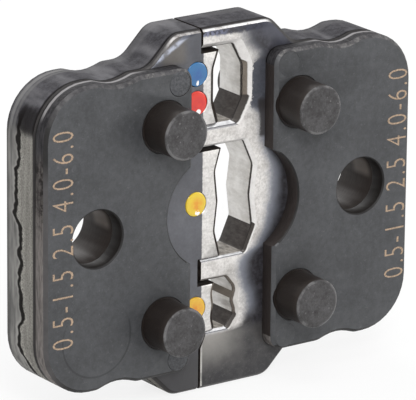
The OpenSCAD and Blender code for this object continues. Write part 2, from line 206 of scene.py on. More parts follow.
class Finish(Nodes):
    """One material, built from expressions on the place in the piece, in millimetres."""

    def __init__(self, name):
        self.material = bpy.data.materials.new(name)
        self.material.use_nodes = True
        super().__init__(self.material.node_tree)
        self.tree.nodes.clear()
        place = self.node("ShaderNodeTexCoord").outputs["Object"]
        scaled = self.node("ShaderNodeVectorMath", {"operation": "SCALE"}, {0: place, "Scale": 1 / MM})
        self.place = scaled.outputs[0]
        split = self.node("ShaderNodeSeparateXYZ", None, {0: self.place})
        self.x, self.y, self.z = (Value(self, split.outputs[k]) for k in range(3))

    def spots(self, scale, detail=2.0, rough=0.5, stretch=(1.0, 1.0, 1.0)):
        """Noise from 0 to 1, with scale spots a millimetre."""
        place = self.place
        if stretch != (1.0, 1.0, 1.0):
            place = self.node("ShaderNodeMapping", None, {"Vector": place, "Scale": stretch}).outputs[0]
        settings = {"Vector": place, "Scale": scale, "Detail": detail, "Roughness": rough}
        return Value(self, self.node("ShaderNodeTexNoise", None, settings).outputs[0])

    def blend(self, share, first, second):
        """A colour from first, where share is 0, to second, where it is 1; a triple is a screen colour."""
        first, second = (shade(*c) if isinstance(c, tuple) and len(c) == 3 else c for c in (first, second))
        return self.node("ShaderNodeMix", {"data_type": "RGBA"}, {0: share, 6: first, 7: second}).outputs[2]

    def along(self, value, points):
        """Height of a smooth curve above a value; points are (value, height) pairs."""
        low, high = points[0][0], points[-1][0]
        top = max(height for _, height in points)
        made = self.node("ShaderNodeFloatCurve", None, {"Value": (value - low) / (high - low)})
        curve = made.mapping.curves[0]
        while len(curve.points) < len(points):
            curve.points.new(0.5, 0.5)
        for point, (place, height) in zip(curve.points, points):
            point.location = ((place - low) / (high - low), height / top)
        made.mapping.update()
        return Value(self, made.outputs[0]) * top

    def away(self, cx, cz):
        """Distance from a line along Y."""
        return ((self.x - cx) ** 2.0 + (self.z - cz) ** 2.0) ** 0.5

    def near(self, cx, cz, radius, soft):
        """1 inside a circle in the face's plane, fading over soft at its rim."""
        return self.away(cx, cz).rise(radius - soft, radius + soft, 1.0, 0.0)

    def band(self, value, middle, half, soft):
        """1 where a value is within half of the middle, fading over soft."""
        return abs(value - middle).rise(half, half + soft, 1.0, 0.0)

    def surface(self, colour, rough, metal, height, relief, coat=0.0, specular=0.5):
        """Ends the material in one shader, with relief millimetres of bump from height."""
        bump = self.node("ShaderNodeBump", None, {"Height": height, "Strength": 1.0, "Distance": relief * MM})
        inputs = {"Base Color": colour, "Roughness": rough, "Metallic": metal, "Coat Weight": coat}
        inputs["Specular IOR Level"] = specular
        inputs["Normal"] = bump.outputs[0]
        made = self.node("ShaderNodeBsdfPrincipled", None, inputs)
        self.node("ShaderNodeOutputMaterial", None, {0: made.outputs[0]})
        return self.material


# Finishes


def oxide_face(name, tone, ring=None):
    """Matte blue-black oxide on a ground plate, softly mottled."""
    f = Finish(name)
    grain = f.spots(5.0, 3.0, 0.65)
    mottle = f.spots(1.5, 3.0, 0.6)
    cloud = f.spots(0.22, 2.0, 0.5)
    pale = f.spots(3.3, 1.0, 0.5).rise(0.68, 0.76)
    dark = tuple(c * 0.76 for c in tone[:3]) + (1.0,)
    light = tuple(c * 1.36 for c in tone[:3]) + (1.0,)
    colour = f.blend((grain * 0.3 + mottle * 0.35 + cloud * 0.35).rise(0.34, 0.66), dark, light)
    colour = f.blend(pale * 0.07, colour, (150, 150, 152))
    height = grain
    if ring is not None:
        cx, cz, radius = ring
        line = abs(f.away(cx, cz) - radius).rise(0.05, 0.14, 1.0, 0.0)
        line = line * f.z.rise(cz - 1.0, cz + 3.0, 1.0, 0.15)
        colour = f.blend(line * 0.5, colour, (30, 30, 32))
        height = grain - line * 1.5
    return f.surface(colour, grain.rise(0.2, 0.8, 0.42, 0.56), 0.0, height, 0.008, specular=0.4)


def oxide_edge(name):
    """Broken edge of a blackened plate: lighter along the top from wear and painted light, brown-grey down
    the left side, dark elsewhere.
    """
    f = Finish(name)
    wear = f.spots(1.3, 3.0, 0.6)
    fleck = f.spots(1.9, 3.0, 0.65).rise(0.48, 0.72)
    top = f.z.rise(11.5, 14.5)
    left_side = (0.0 - f.x).rise(HALF_WIDTH - 3.0, HALF_WIDTH - 0.6) * f.z.rise(6.0, 9.0, 1.0, 0.0)
    plain = f.blend(wear, (24, 23, 23), (44, 43, 43))
    plain = f.blend(left_side, plain, f.blend(wear, (60, 59, 60), (80, 78, 78)))
    # Lighter top of the edge: partly wear, partly a painted highlight.
    worn_and_lit_top = f.blend(wear.rise(0.35, 0.7), (58, 57, 59), (84, 83, 84))
    colour = f.blend(top, plain, worn_and_lit_top)
    colour = f.blend(top * fleck * 0.34 * f.x.rise(-16.0, -10.0, 0.2, 1.0), colour, (150, 147, 144))
    return f.surface(colour, 0.5, 0.0, wear, 0.006, specular=0.18)


def oxide_rim(name):
    """Blanked outer edge of a cover: grey and stained at the sides, dark on top with a painted highlight
    line, black along the joint.
    """
    f = Finish(name)
    streak = f.spots(3.0, 3.0, 0.6, (1.0, 1.0, 0.2))
    stain = f.spots(0.9, 4.0, 0.7).rise(0.46, 0.6) * f.band(f.z, 6.0, 2.5, 3.0)
    side = f.blend(streak.rise(0.3, 0.7), (52, 49, 48), (86, 82, 80))
    low = f.blend(streak.rise(0.3, 0.7), (84, 80, 78), (122, 117, 114))
    side = f.blend(f.z.rise(1.0, 5.0, 1.0, 0.0), side, low)
    side = f.blend(stain * 0.85, side, (24, 21, 20))
    top = f.blend(streak.rise(0.3, 0.7), (34, 33, 35), (62, 61, 63))
    colour = f.blend(f.z.rise(7.6, 10.0), side, top)
    # Painted highlight: a pale line along the rim's top, just in front of the joint.
    line = f.band(f.y, SEAM - 0.4, 0.12, 0.14) * f.z.rise(12.2, 13.4) * abs(f.x).rise(9.0, 11.5)
    colour = f.blend(line * 0.6, colour, (168, 165, 166))
    joint = f.y.rise(SEAM - 0.28, SEAM - 0.1) * f.z.rise(0.0, 6.0, 0.72, 0.96)
    colour = f.blend(joint, colour, (14, 12, 11))
    return f.surface(colour, 0.6, 0.0, streak, 0.008, specular=0.06)


def die_rim(name):
    """Blanked edge of a die body: torn in front, burnished behind, with a wavy black line between."""
    f = Finish(name)
    sway = (f.spots(0.3, 3.0, 0.55, (1.0, 0.2, 1.0)) - 0.5) * 3.6
    line = BACK - 2.15
    past = f.y + sway - line + f.z.rise(-3.0, 5.0, 0.6, 0.0)
    behind = past.rise(-0.15, 0.15)
    width = f.spots(0.7, 2.0, 0.5, (1.0, 0.3, 1.0)) * 0.58
    seam = (abs(past) - width).rise(-0.1, 0.16, 1.0, 0.0)
    side_part = f.z.rise(10.2, 11.6, 1.0, 0.0)
    # lit: painted light on the torn lip just in front of the wavy line.
    lit = past.rise(-1.0, -0.3) * (1.0 - behind)
    long = f.spots(1.6, 3.0, 0.6, (1.0, 1.0, 0.14))
    fine = f.spots(5.0, 4.0, 0.7)
    torn = f.blend((fine * 0.65 + long * 0.35).rise(0.32, 0.68), (96, 94, 90), (142, 140, 134))
    torn = f.blend(lit * fine.rise(0.4, 0.6) * 0.7, torn, (176, 173, 166))
    burnished = f.blend(long.rise(0.3, 0.7), (92, 91, 90), (136, 135, 132))
    burnished = f.blend(past.rise(0.3, 0.9, 0.6, 0.0), burnished, (160, 158, 154))
    burnished = f.blend(f.y.rise(BACK - 0.7, BACK - 0.1) * 0.85, burnished, (58, 57, 56))
    side = f.blend(behind, torn, burnished)
    joint = f.y.rise(SEAM + 0.15, SEAM + 0.6, 1.0, 0.0) * f.z.rise(0.0, 6.0, 0.7, 0.9)
    side = f.blend(joint, side, (22, 19, 18))
    # sheen: painted reflections on the top of the edge.
    sheen = f.spots(0.5, 2.0, 0.5, (1.0, 0.3, 1.0)).rise(0.46, 0.74)
    top = f.blend((long * 0.5 + fine * 0.5).rise(0.3, 0.7), (44, 43, 46), (76, 75, 79))
    top = f.blend(sheen * 0.5, top, (122, 121, 124))
    top = f.blend(f.y.rise(BACK - 1.7, BACK - 1.3) * 0.25, top, (112, 111, 112))
    top = f.blend(f.y.rise(BACK - 0.5, BACK - 0.1) * 0.9, top, (16, 15, 16))
    top = f.blend(f.y.rise(SEAM + 0.5, SEAM + 0.75, 0.92, 0.0), top, (16, 14, 15))
    arc = f.z.rise(9.5, 11.0) * f.x.rise(-16.5, -14.5, 1.0, 0.0)
    top = f.blend(f.band(f.y, BACK - 0.8, 0.16, 0.14) * arc * 0.6, top, (128, 127, 126))
    top = f.blend(f.band(f.y, BACK - 1.45, 0.1, 0.15) * arc * 0.4, top, (112, 111, 110))
    corner = f.band(f.z, 12.0, 0.8, 0.9) * f.y.rise(BACK - 2.4, BACK - 1.4, 1.0, 0.0)
    colour = f.blend(side_part, top, side)
    colour = f.blend(corner * 0.8, colour, (26, 24, 24))
    colour = f.blend(seam * f.z.rise(11.5, 14.0, 0.97, 0.0), colour, (8, 5, 4))
    height = fine * 0.6 + long * 0.4 - seam * side_part * 2.5
    return f.surface(colour, 0.65, 0.0, height, 0.02, specular=0.05)


def bore_wall(name, dark, light):
    """Brown-black wall of a drilled or reamed hole, with a painted highlight half way down it and above its
    middle.
    """
    f = Finish(name)
    turn = f.spots(4.0, 2.0, 0.5, (0.3, 3.0, 0.3))
    # glint: painted highlight on the wall.
    glint = f.band(f.y, 0.2, 0.7, 1.1) * f.band(f.z, 0.9, 0.5, 0.9)
    colour = f.blend(turn, dark, light)
    colour = f.blend(glint * 0.75, colour, (124, 116, 110))
    return f.surface(colour, 0.5, 0.1, turn, 0.004, specular=0.15)


GROUND_PALE = (232, 229, 226)

# How wide the ground zone of the channel half is from the parting line, as (height, width) from the bottom up
GROUND_REACH = (
    (-19.0, 0.0),
    (-14.0, 0.0),
    (-12.9, 4.9),
    (-11.0, 5.6),
    (-9.4, 5.4),
    (-8.2, 4.8),
    (-6.6, 4.6),
    (-4.6, 6.5),
    (-1.0, 8.1),
    (2.6, 8.3),
    (6.0, 7.2),
    (9.0, 6.8),
    (10.0, 6.0),
    (14.2, 6.0),
    (15.0, 6.6),
    (15.8, 6.0),
    (16.8, 5.2),
    (19.0, 4.8),
)


def left_die_face(name):
    """Grey oxide with a ground strip along the parting line, as on the punch half."""
    f = Finish(name)
    grain = f.spots(4.5, 3.0, 0.65)
    cloud = f.spots(0.5, 4.0, 0.6)
    mottle = f.spots(1.5, 3.0, 0.6)
    lines = f.spots(2.2, 2.0, 0.5, (0.25, 1.0, 2.6))
    strip = (f.x + (grain - 0.5) * 0.12).rise(-2.34, -2.22)
    strip = strip * f.z.rise(-13.2, -12.6) * f.z.rise(16.4, 17.0, 1.0, 0.0)
    grey = f.blend(grain * 0.3 + cloud * 0.4 + mottle * 0.3, (52, 52, 55), (106, 107, 113))
    upper = f.z.rise(15.0, 16.0)
    grey = f.blend(upper * f.band(f.x, -5.8, 0.8, 1.2) * 0.45, grey, (100, 92, 80))
    grey = f.blend(upper * f.x.rise(-4.6, -3.2) * 0.45, grey, (54, 55, 60))
    # gleam: a painted highlight, a pale streak below the rounded top edge.
    gleam = f.band(f.z - f.x * 0.58 + (cloud - 0.5) * 0.3, 20.7, 0.04, 0.42)
    gleam = gleam * upper * f.x.rise(-5.0, -3.4, 1.0, 0.1)
    grey = f.blend(gleam * mottle.rise(0.35, 0.6, 0.2, 0.72), grey, (184, 190, 206))
    under = (f.z - f.x * 0.2).rise(18.75, 18.95) * f.x.rise(-5.6, -4.6)
    grey = f.blend(under * 0.7, grey, (34, 36, 50))
    grey = f.blend(f.z.rise(-16.0, -11.5, 0.75, 0.0), grey, (44, 42, 42))
    pale = f.blend((lines * 0.2 + grain * 0.5 + mottle * 0.3).rise(0.3, 0.7), (190, 187, 183), GROUND_PALE)
    colour = f.blend(strip, grey, pale)
    return f.surface(colour, 0.42 - strip * 0.08, strip * 0.6, grain * 0.6 + lines * 0.4, 0.006, specular=0.4)


def right_die_face(name):
    """Ground steel round the channels that runs out into glossy blue-black, as on the channel half."""
    f = Finish(name)
    grain = f.spots(4.5, 3.0, 0.65)
    cloud = f.spots(0.8, 4.0, 0.65)
    patch = f.spots(1.8, 4.0, 0.65)
    past = f.x - TIP_X - f.along(f.z, GROUND_REACH) + (cloud - 0.5) * 1.1 + (patch - 0.5) * 0.7
    beside = f.z.rise(9.4, 10.2) * f.z.rise(14.1, 14.7, 1.0, 0.0)
    above = f.z.rise(14.4, 15.6)
    ragged = past + (f.spots(3.2, 4.0, 0.75) - 0.5) * 1.5
    bright = past.rise(-0.8, 0.5, 1.0, 0.0) * (1.0 - beside) * (1.0 - above)
    bright = bright + past.rise(-1.5, 0.9, 1.0, 0.0) * above + ragged.rise(-0.15, 0.1, 1.0, 0.0) * beside
    far = f.blend(patch.rise(0.35, 0.7), (34, 32, 33), (62, 61, 66))
    blue = past.rise(0.0, 1.8, 1.0, 0.0) * f.z.rise(-12.5, -10.5) * f.z.rise(8.5, 10.5, 1.0, 0.35)
    dark = f.blend(blue, far, f.blend(cloud, (92, 95, 104), (138, 141, 150)))
    wing = f.blend(grain * 0.3 + cloud * 0.7, (56, 56, 59), (100, 101, 106))
    dark = f.blend(f.x.rise(7.5, 10.5), dark, wing)
    under = f.z.rise(-13.4, -12.4, 1.0, 0.0) * f.x.rise(8.0, 10.0, 1.0, 0.0)
    fade = f.z.rise(-18.0, -12.8, 0.0, 0.8) * f.x.rise(-1.0, 4.2, 1.0, 0.1) + (cloud - 0.5) * 0.3
    low = f.blend(fade.most(0.0).least(1.0), (48, 47, 49), (154, 151, 146))
    low = f.blend(grain.rise(0.55, 0.75) * 0.3, low, (112, 110, 108))
    dark = f.blend(under, dark, low)
    pale = f.blend((grain * 0.5 + cloud * 0.5).rise(0.3, 0.7), (182, 178, 174), GROUND_PALE)
    pale = f.blend(patch.rise(0.55, 0.75) * 0.25, pale, (150, 146, 141))
    colour = f.blend(bright * (1.0 - under), dark, pale)
    stain = beside * ragged.rise(-0.05, 0.15) * patch.rise(0.36, 0.56, 1.0, 0.6)
    colour = f.blend(stain * 0.95, colour, f.blend(grain, (44, 46, 54), (84, 87, 95)))
    # Painted shadow of the cover on the die face along its inner edge.
    cover_shadow = (ragged * 0.3 + f.x).rise(COVER_IN - 0.9, COVER_IN - 0.4) * f.band(f.z, 8.5, 1.7, 0.5)
    cover_shadow = cover_shadow * f.y.rise(-1.0, 0.0, 0.85, 0.0)
    colour = f.blend(cover_shadow, colour, (48, 45, 45))
    shoulder = (f.z + f.x * 0.9).rise(19.6, 23.0) * f.x.rise(7.0, 9.0, 1.0, 0.0)
    colour = f.blend(shoulder * 0.85, colour, (72, 73, 82))
    wedge = (f.z + (patch - 0.5) * 0.7 - f.x.rise(-2.4, 0.5, 0.16, 0.0)).rise(17.5, 17.82)
    wedge = wedge * f.x.rise(4.2, 5.6, 1.0, 0.3)
    mixed = f.blend(patch.rise(0.42, 0.56) * f.x.rise(-0.6, 1.4, 0.9, 0.1), (34, 35, 44), (112, 117, 142))
    colour = f.blend(wedge * 0.92, colour, mixed)
    # Painted highlight: a thin pale line along the lower parting edge.
    line = f.band(f.x, TIP_X + 0.12, 0.05, 0.1) * under * cloud.rise(0.35, 0.6, 0.5, 0.95)
    colour = f.blend(line, colour, (190, 187, 182))
    metal = bright * (1.0 - under) * 0.6
    return f.surface(colour, bright * 0.1 + 0.3, metal, grain, 0.006, specular=0.35)


def ground_edge(name, left):
    """Broken front and back edges of a die body: a thin painted highlight along the block's top, dark
    elsewhere.
    """
    f = Finish(name)
    wear = f.spots(1.6, 3.0, 0.6)
    # Painted highlight along the top front edge of the block.
    line = f.y.rise(SEAM + 0.12, SEAM + 0.26, 1.0, 0.0) * f.z.rise(11.0, 13.5)
    if left:
        line = line * abs(f.x).rise(5.4, 7.2, 1.0, 0.1)
        bright = f.blend(wear.rise(0.3, 0.65), (112, 108, 106), (186, 183, 182))
    else:
        line = line * abs(f.x).rise(4.9, 6.1, 1.0, 0.0)
        bright = f.blend(wear.rise(0.3, 0.6), (176, 173, 171), (236, 235, 235))
    dull = f.blend(wear, (22, 20, 20), (54, 51, 51))
    return f.surface(f.blend(line, dull, bright), 0.4, line * 0.5, wear, 0.006, specular=0.25)


def across_bevel(f, grit):
    """How far a place is across its nest's bevel: 0 at the die's face, 1 at the nest, with some grit."""
    depth = f.z.rise(LOW_FINGER, LOW_FINGER + 0.6, LOW_BEVEL, MID_BEVEL)
    depth = depth + f.z.rise(TOP_FINGER - 0.1, TOP_FINGER + 0.1, 0.0, TOP_BEVEL - MID_BEVEL)
    return (f.y - SEAM) / depth + grit


def channel_bevel(name):
    """Bevel round a channel: a painted highlight at the face, painted dark reflection at its inner edge and
    round the lower lobes.
    """
    f = Finish(name)
    grain = f.spots(3.0, 3.0, 0.6)
    inward = across_bevel(f, (grain - 0.5) * 0.16)
    top_nest = f.z.rise(TOP_FINGER - 0.1, TOP_FINGER + 0.1)
    low_nest = f.z.rise(LOW_FINGER - 0.1, LOW_FINGER + 0.1, 1.0, 0.0)
    waist = top_nest * f.z.rise(10.9, 11.2) * f.z.rise(14.4, 14.8, 1.0, 0.0)
    lobe = top_nest * f.z.rise(10.9, 11.2, 1.0, 0.0)
    lobe = lobe + f.z.rise(-2.5, -2.2, 1.0, 0.0) * (1.0 - low_nest) + f.z.rise(-11.6, -11.2, 1.0, 0.0)
    # pale is a painted highlight; inner is painted dark reflection of the rounded edge.
    pale = f.blend(grain, (190, 187, 184), (226, 224, 222))
    pale = f.blend(low_nest * 0.5, pale, (168, 163, 158))
    inner = f.blend(waist, (34, 27, 24), f.blend(grain, (84, 76, 68), (126, 117, 107)))
    inner = f.blend(low_nest * (1.0 - lobe), inner, f.blend(grain, (66, 59, 54), (108, 100, 92)))
    inner = f.blend(lobe, inner, f.blend(grain, (38, 34, 32), (68, 63, 59)))
    start = 0.84 - waist * 0.42 - lobe * 0.6 - low_nest * (1.0 - lobe) * 0.3
    colour = f.blend((inward - start).rise(-0.06, 0.08), pale, inner)
    colour = f.blend((waist + lobe).least(1.0) * f.band(inward, 0.93, 0.03, 0.06), colour, (22, 17, 15))
    return f.surface(colour, 0.34, 0.3, grain, 0.004, specular=0.3)


def floor_bevel(name):
    """Bevel along the floor of a nest: it faces up and gleams, with a thin dark line near the die's face."""
    f = Finish(name)
    wear = f.spots(1.6, 3.0, 0.6)
    inward = across_bevel(f, (wear - 0.5) * 0.1)
    colour = f.blend(wear.rise(0.3, 0.7), (208, 208, 210), (246, 246, 247))
    colour = f.blend(inward.rise(0.3, 0.42, 1.0, 0.0), colour, (176, 175, 176))
    colour = f.blend(f.band(inward, 0.3, 0.05, 0.08) * 0.75, colour, (70, 70, 78))
    return f.surface(colour, 0.26, 0.7, wear, 0.004)


def nest_wall(name):
    """Ground wall of a nest, with a dark line where it meets the bevel and a darker back, both painted dark
    reflection.
    """
    f = Finish(name)
    grain = f.spots(3.0, 3.0, 0.6, (1.0, 0.4, 1.0))
    cloud = f.spots(0.6, 3.0, 0.6)
    speck = f.spots(2.4, 2.0, 0.6).rise(0.62, 0.72)
    bevel = f.z.rise(TOP_FINGER - 0.1, TOP_FINGER + 0.1, 0.28, TOP_BEVEL)
    line = (f.y - SEAM - bevel + (grain - 0.5) * 0.12).rise(0.1, 0.22, 1.0, 0.0)
    back = f.y.rise(BACK - 1.1, BACK - 0.9)
    colour = f.blend((grain * 0.4 + cloud * 0.6).rise(0.3, 0.7), (196, 193, 188), (228, 226, 223))
    colour = f.blend(speck * 0.16, colour, (130, 124, 116))
    colour = f.blend(back * 0.25, colour, (150, 145, 140))
    colour = f.blend(line * 0.92, colour, (30, 23, 20))
    return f.surface(colour, 0.34, 0.5, grain, 0.003)


def nest_shade(name, dark, light):
    """Ground wall of a nest that faces away from the light; the upper lobe of the lowest nest is paler."""
    f = Finish(name)
    grain = f.spots(2.2, 4.0, 0.65, (1.0, 0.5, 1.0))
    streak = f.spots(5.0, 2.0, 0.6, (1.0, 0.25, 1.0))
    tone = (grain * 0.75 + streak * 0.25).rise(0.3, 0.7)
    colour = f.blend(tone, dark, light)
    colour = f.blend(f.band(f.z, -9.0, 1.4, 0.3) * 0.7, colour, (118, 110, 101))
    return f.surface(colour, 0.5, 0.0, grain, 0.006, specular=0.15)


def gap_wall(name):
    """Dark wall of the narrow gaps between the halves: dark oxide, painted darker for the shade in the gaps.
    """
    f = Finish(name)
    grain = f.spots(2.0, 3.0, 0.6)
    colour = f.blend(grain.rise(0.3, 0.7), (20, 16, 15), (48, 42, 39))
    return f.surface(colour, 0.7, 0.0, grain, 0.006, specular=0.06)


def stud_steel(name):
    """Dark turned stud: brown-black sides and mottled grey ends."""
    f = Finish(name)
    grain = f.spots(4.0, 4.0, 0.7)
    cloud = f.spots(0.9, 3.0, 0.6)
    pale = f.spots(3.1, 1.0, 0.5).rise(0.66, 0.74)
    away = Value(f, f.node("ShaderNodeAttribute", {"attribute_name": "from_axis"}).outputs["Fac"])
    end = abs(f.y).rise(STUD_END - 0.2, STUD_END - 0.12)
    # rim: a painted highlight round the edge of each end.
    rim = end * away.rise(2.2, 2.3) * cloud.rise(0.4, 0.6)
    rings = f.math("SINE", away * 21.0) * 0.5 + 0.5
    face = f.blend((grain * 0.55 + cloud * 0.45).rise(0.25, 0.75), (40, 38, 38), (76, 75, 76))
    face = f.blend(pale * 0.3, face, (140, 139, 139))
    face = f.blend(rim * 0.45, face, (118, 117, 117))
    side = f.blend(grain, (14, 10, 9), (42, 36, 33))
    side = f.blend(abs(f.y).rise(STUD_END - 1.2, STUD_END - 0.2) * 0.5, side, (52, 46, 43))
    colour = f.blend(end, side, face)
    return f.surface(colour, 0.42, 0.0, grain + rings * end * 0.12, 0.012, specular=0.3)


def rivet_steel(name):
    """Flush rivet end on the punch half, ground with the cover and blackened with it."""
    f = Finish(name)
    grain = f.spots(4.0, 4.0, 0.7)
    colour = f.blend(grain.rise(0.3, 0.7), (48, 49, 52), (80, 81, 84))
    return f.surface(colour, 0.46, 0.0, grain, 0.012, specular=0.42)


def enamel(name, tone, deep, cx, cz, radius):
    """Glossy brushed-on enamel that pooled in the middle, with a painted highlight at its lower rim."""
    f = Finish(name)
    cloud = f.spots(1.4, 2.0, 0.5)
    pool = f.near(cx + 0.1, cz - 0.1, radius * 0.5, radius * 0.35) * cloud.rise(0.3, 0.6)
    # A painted highlight: a small white spot near the lower rim.
    painted_glint = f.near(cx + 0.15, cz - radius * 0.72, 0.28, 0.06) * f.spots(2.6, 2.0, 0.5).rise(0.42, 0.5)
    colour = f.blend(painted_glint, f.blend(pool, tone, deep), (244, 243, 240))
    return f.surface(colour, 0.16, 0.0, cloud, 0.05, coat=0.6)


def etched(name, tone):
    """Tan mark burnt into the oxide."""
    f = Finish(name)
    grain = f.spots(6.0, 2.0, 0.6)
    deep = tuple(c * 0.55 for c in tone[:3]) + (1.0,)
    return f.surface(f.blend(grain.rise(0.3, 0.6), deep, tone), 0.5, 0.0, grain, 0.004, specular=0.3)


# Shapes


def merged(node):
    """A merged copy of a node's mesh in which flat faces are whole again."""
    shape = bmesh.new()
    shape.from_mesh(frame["nodes"][node].data)
    bmesh.ops.remove_doubles(shape, verts=shape.verts, dist=0.0008 * MM)
    bmesh.ops.dissolve_limit(
        shape,
        angle_limit=math.radians(0.6),
        verts=shape.verts,
        edges=shape.edges,
        use_dissolve_boundaries=False,
    )
    bmesh.ops.recalc_face_normals(shape, faces=shape.faces)
    return shape


def mesh_from(shape, name):
    """Turns a bmesh into a mesh and frees it."""
    mesh = bpy.data.meshes.new(name)
    shape.to_mesh(mesh)
    shape.free()
    return mesh


def placed(name, data):
    """A new object in the scene."""
    made = bpy.data.objects.new(name, data)
    bpy.context.scene.collection.objects.link(made)
    return made


def piece_from(shape, name, materials, body, nodes):
    """Turns a bmesh into a piece that stands for some nodes and rides on their body."""
    mesh = mesh_from(shape, name)
    for material in materials:
        mesh.materials.append(material)
    return settle(placed(name, mesh), body, nodes)


def settle(piece, body, nodes):
    """Rides a finished piece on its body, in place of its nodes if it has any."""
    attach(piece, body)
    if nodes:
        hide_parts(*nodes)
    return piece


def frozen(piece):
    """The piece with its modifiers worked into a plain mesh."""
    graph = bpy.context.evaluated_depsgraph_get()
    mesh = bpy.data.meshes.new_from_object(piece.evaluated_get(graph), depsgraph=graph)
    mesh.name = piece.name
    piece.modifiers.clear()
    piece.data = mesh
    return piece


def rounded(piece, width):
    """Rounds the sharp edges of a piece by a width in metres and keeps its flats shaded flat."""
    piece.data.shade_smooth()
    made = piece.modifiers.new("Rounding", "BEVEL")
    made.width = width
    made.segments = 2
    made.limit_method = "ANGLE"
    made.angle_limit = math.radians(24.0)
    made.harden_normals = True
    made.use_clamp_overlap = True
    return frozen(piece)


def set_slots(shape, choose, *more):
    """Gives each face the slot that choose returns for its normal and its middle, in millimetres."""
    for face in shape.faces:
        face.material_index = choose(face.normal, face.calc_center_median() / MM, *more)


def outer_slot(normal, middle):
    """Slot of a die's face outside the nests, alike on both halves; None means that it is in a nest."""
    if abs(normal.y) > FLAT:
        return FACE
    if math.hypot(abs(middle.x) - LATCH_X, middle.z) < LATCH_R + 0.4:
        return BORE
    if abs(middle.x) < NEST_REACH and abs(middle.z) < BLOCK_TOP - 0.5:
        return None
    return EDGE if abs(normal.y) > SLOPED else RIM


def left_slot(normal, middle):
    """Slot of a face of the punch half's die body."""
    slot = outer_slot(normal, middle)
    if slot is not None:
        return slot
    if abs(normal.y) > SLOPED:
        return BEVEL
    return GAP if normal.z > 0.5 else WALL


def right_slot(normal, middle):
    """Slot of a face of the channel half's die body."""
    slot = outer_slot(normal, middle)
    if slot is not None:
        return slot
    if middle.x < TIP_X + 0.1 and abs(normal.x) > 0.9:
        return GAP
    if abs(normal.y) > SLOPED:
        return SILL if normal.z > 0.6 else BEVEL
    if normal.z > 0.85:
        return LEDGE
    return SLOPE if normal.z > 0.25 else WALL


def cover_slot(normal, middle, inner):
    """Slot of a cover's face; inner is how far its inner edge is from X = 0."""
    if abs(normal.y) > FLAT:
        return FACE
    if abs(normal.y) > SLOPED:
        return EDGE if abs(middle.x) > inner + 0.6 or abs(middle.z) > WING_TOP - 0.6 else FACE
    if math.hypot(abs(middle.x) - LATCH_X, middle.z) < LATCH_R + 0.3:
        return COVER_BORE
    return COVER_INNER if abs(middle.x) < inner + 3.2 and abs(middle.z) < WING_TOP - 1.6 else RIM


def soften_lips(shape):
    """Widens the punches' bevels, so that the dark line between a punch's face and its nest shows better."""
    edges = []
    for edge in shape.edges:
        kinds = sorted(face.material_index for face in edge.link_faces)
        middle = (edge.verts[0].co + edge.verts[1].co) / 2 / MM
        if kinds == [FACE, BEVEL] and middle.y < SEAM + 0.1 and middle.x > TIP_X:
            edges.append(edge)
    bmesh.ops.bevel(
        shape,
        geom=edges,
        offset=0.13 * MM,
        offset_type="OFFSET",
        segments=1,
        profile=0.5,
        affect="EDGES",
        material=BEVEL,
    )


def lathe(profile, turns):
    """Closed shape of revolution about Y from (radius, y) pairs in millimetres; both ends lie on the axis."""
    shape = bmesh.new()
    rings = []
    angles = [2 * math.pi * k / turns for k in range(turns)]
    for radius, y in profile:
        if radius == 0:
            rings.append([shape.verts.new((0, y * MM, 0))])
            continue
        spots = [(radius * MM * math.cos(angle), y * MM, radius * MM * math.sin(angle)) for angle in angles]
        rings.append([shape.verts.new(spot) for spot in spots])
    for low, high in zip(rings, rings[1:]):
        for k in range(turns):
            j = (k + 1) % turns
            if len(low) == 1:
                shape.faces.new((low[0], high[j], high[k]))
            elif len(high) == 1:
                shape.faces.new((low[k], low[j], high[0]))
            else:
                shape.faces.new((low[k], low[j], high[j], high[k]))
    bmesh.ops.recalc_face_normals(shape, faces=shape.faces)
    return shape


def repeat_tree(name, material):
    """Geometry Nodes that set a blank on each point of a mesh, each turned its own way about Y."""
    tree = bpy.data.node_groups.new(name, "GeometryNodeTree")
    tree.is_modifier = True
    sockets = tree.interface
    sockets.new_socket("Seats", in_out="INPUT", socket_type="NodeSocketGeometry")
    sockets.new_socket("Blank", in_out="INPUT", socket_type="NodeSocketObject")
    largest = sockets.new_socket("Largest Turn", in_out="INPUT", socket_type="NodeSocketFloat")
    largest.default_value = math.pi
    seed = sockets.new_socket("Seed", in_out="INPUT", socket_type="NodeSocketInt")
    seed.default_value = 7
    sockets.new_socket("Pieces", in_out="OUTPUT", socket_type="NodeSocketGeometry")

    n = Nodes(tree)
    given = n.node("NodeGroupInput").outputs
    shape = n.node("GeometryNodeObjectInfo", {"transform_space": "ORIGINAL"}, {"Object": given["Blank"]})
    turn = n.node(
        "FunctionNodeRandomValue", {"data_type": "FLOAT"}, {"Seed": given["Seed"], 3: given["Largest Turn"]}
    )
    angle = n.node("ShaderNodeCombineXYZ", None, {"Y": turn.outputs[1]})
    seated = {"Points": given["Seats"], "Instance": shape.outputs["Geometry"], "Rotation": angle.outputs[0]}
    copies = n.node("GeometryNodeInstanceOnPoints", None, seated)
    whole = n.node("GeometryNodeRealizeInstances", None, {0: copies.outputs[0]})
    finished = n.node("GeometryNodeSetMaterial", None, {0: whole.outputs[0], "Material": material})
    n.node("NodeGroupOutput", None, {0: finished.outputs[0]})
    return tree


